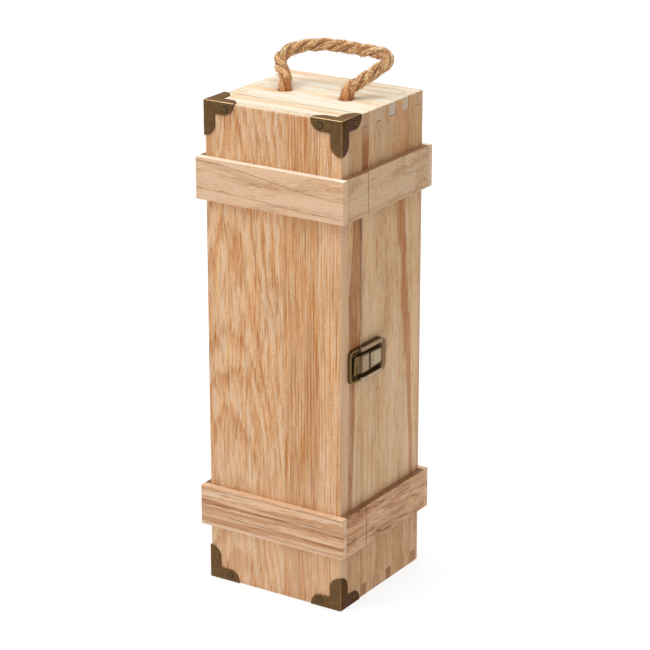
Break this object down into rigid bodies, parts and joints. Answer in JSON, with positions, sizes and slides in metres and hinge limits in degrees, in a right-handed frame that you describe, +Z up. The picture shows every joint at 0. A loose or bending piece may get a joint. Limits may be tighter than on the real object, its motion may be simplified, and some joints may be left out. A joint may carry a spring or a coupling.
{
  "type": "wooden wine box",
  "caption": "Tall wooden box for one bottle, belted by two wooden bands, with a hinged lid, bronze corner protectors, a clasp and a twisted rope handle.",
  "frame": {"origin": "middle of the base, on the plane that the box stands on", "axes": "+X to the right along the lid's face, +Y towards the back, +Z up"},
  "size_m": [0.1233, 0.114, 0.3824],
  "materials": {
    "side_wood": "bare pine, planed, matt",
    "top_wood": "bare pale pine, planed, matt",
    "front_wood": "bare pine veneer with brown upright grain, matt",
    "band_wood": "bare pine, sawn, matt",
    "jute_rope": "twisted jute, hairy",
    "antique_bronze": "antique bronze plate, worn brighter on its edges",
    "worn_brass": "antique brass, rubbed, satin",
    "dark_screws": "dark antique bronze"
  },
  "bodies": {
    "box": {"side_board_right": "side_wood", "side_board_left": "side_wood", "top_board": "top_wood", "bottom_board": "side_wood", "back_panel": "front_wood", "upper_band_right": "band_wood", "upper_band_left": "band_wood", "upper_band_back": "band_wood", "lower_band_right": "band_wood", "lower_band_left": "band_wood", "lower_band_back": "band_wood", "rope_stop_right": "jute_rope", "rope_stop_left": "jute_rope", "upper_hinge_body_leaf": "antique_bronze", "lower_hinge_body_leaf": "antique_bronze", "upper_hinge_pin": "dark_screws", "lower_hinge_pin": "dark_screws", "hinge_screws_body": "dark_screws", "clasp_base": "antique_bronze", "clasp_base_screws": "dark_screws", "clasp_lever_pin": "dark_screws"},
    "lid": {"front_panel": "front_wood", "lid_side_right": "side_wood", "lid_side_left": "side_wood", "lid_top": "top_wood", "lid_bottom": "side_wood", "upper_band_front": "band_wood", "upper_band_lid_right": "band_wood", "upper_band_lid_left": "band_wood", "lower_band_front": "band_wood", "lower_band_lid_right": "band_wood", "lower_band_lid_left": "band_wood", "corner_top_right": "antique_bronze", "corner_top_left": "antique_bronze", "corner_bottom_right": "antique_bronze", "corner_bottom_left": "antique_bronze", "corner_screws": "dark_screws", "upper_hinge_lid_leaf": "antique_bronze", "lower_hinge_lid_leaf": "antique_bronze", "hinge_screws_lid": "dark_screws", "clasp_strike": "antique_bronze", "clasp_strike_screws": "dark_screws"},
    "handle": {"rope_loop": "jute_rope"},
    "lever": {"clasp_lever": "worn_brass", "clasp_link_pin": "dark_screws"},
    "hook": {"clasp_hook": "worn_brass"}
  },
  "joints": [
    {"name": "lid_hinge", "type": "hinge", "parent": "box", "child": "lid", "pos_m": [-0.0617, -0.0264, 0.175], "axis": [0, 0, -1], "range_deg": [0, 180]},
    {"name": "handle_swing", "type": "hinge", "parent": "box", "child": "handle", "pos_m": [0, 0.0006, 0.355], "axis": [1, 0, 0], "range_deg": [-36, 137]},
    {"name": "lever_hinge", "type": "hinge", "parent": "box", "child": "lever", "pos_m": [0.0568, -0.0298, 0.177], "axis": [0, 0, -1], "range_deg": [0, 100]},
    {"name": "hook_link", "type": "hinge", "parent": "lever", "child": "hook", "pos_m": [0.0581, -0.0218, 0.177], "axis": [0, 0, -1], "range_deg": [-100, 0]}
  ],
  "couplings": [
    {"joint": "hook_link", "follows": "lever_hinge", "ratio": -1}
  ]
}
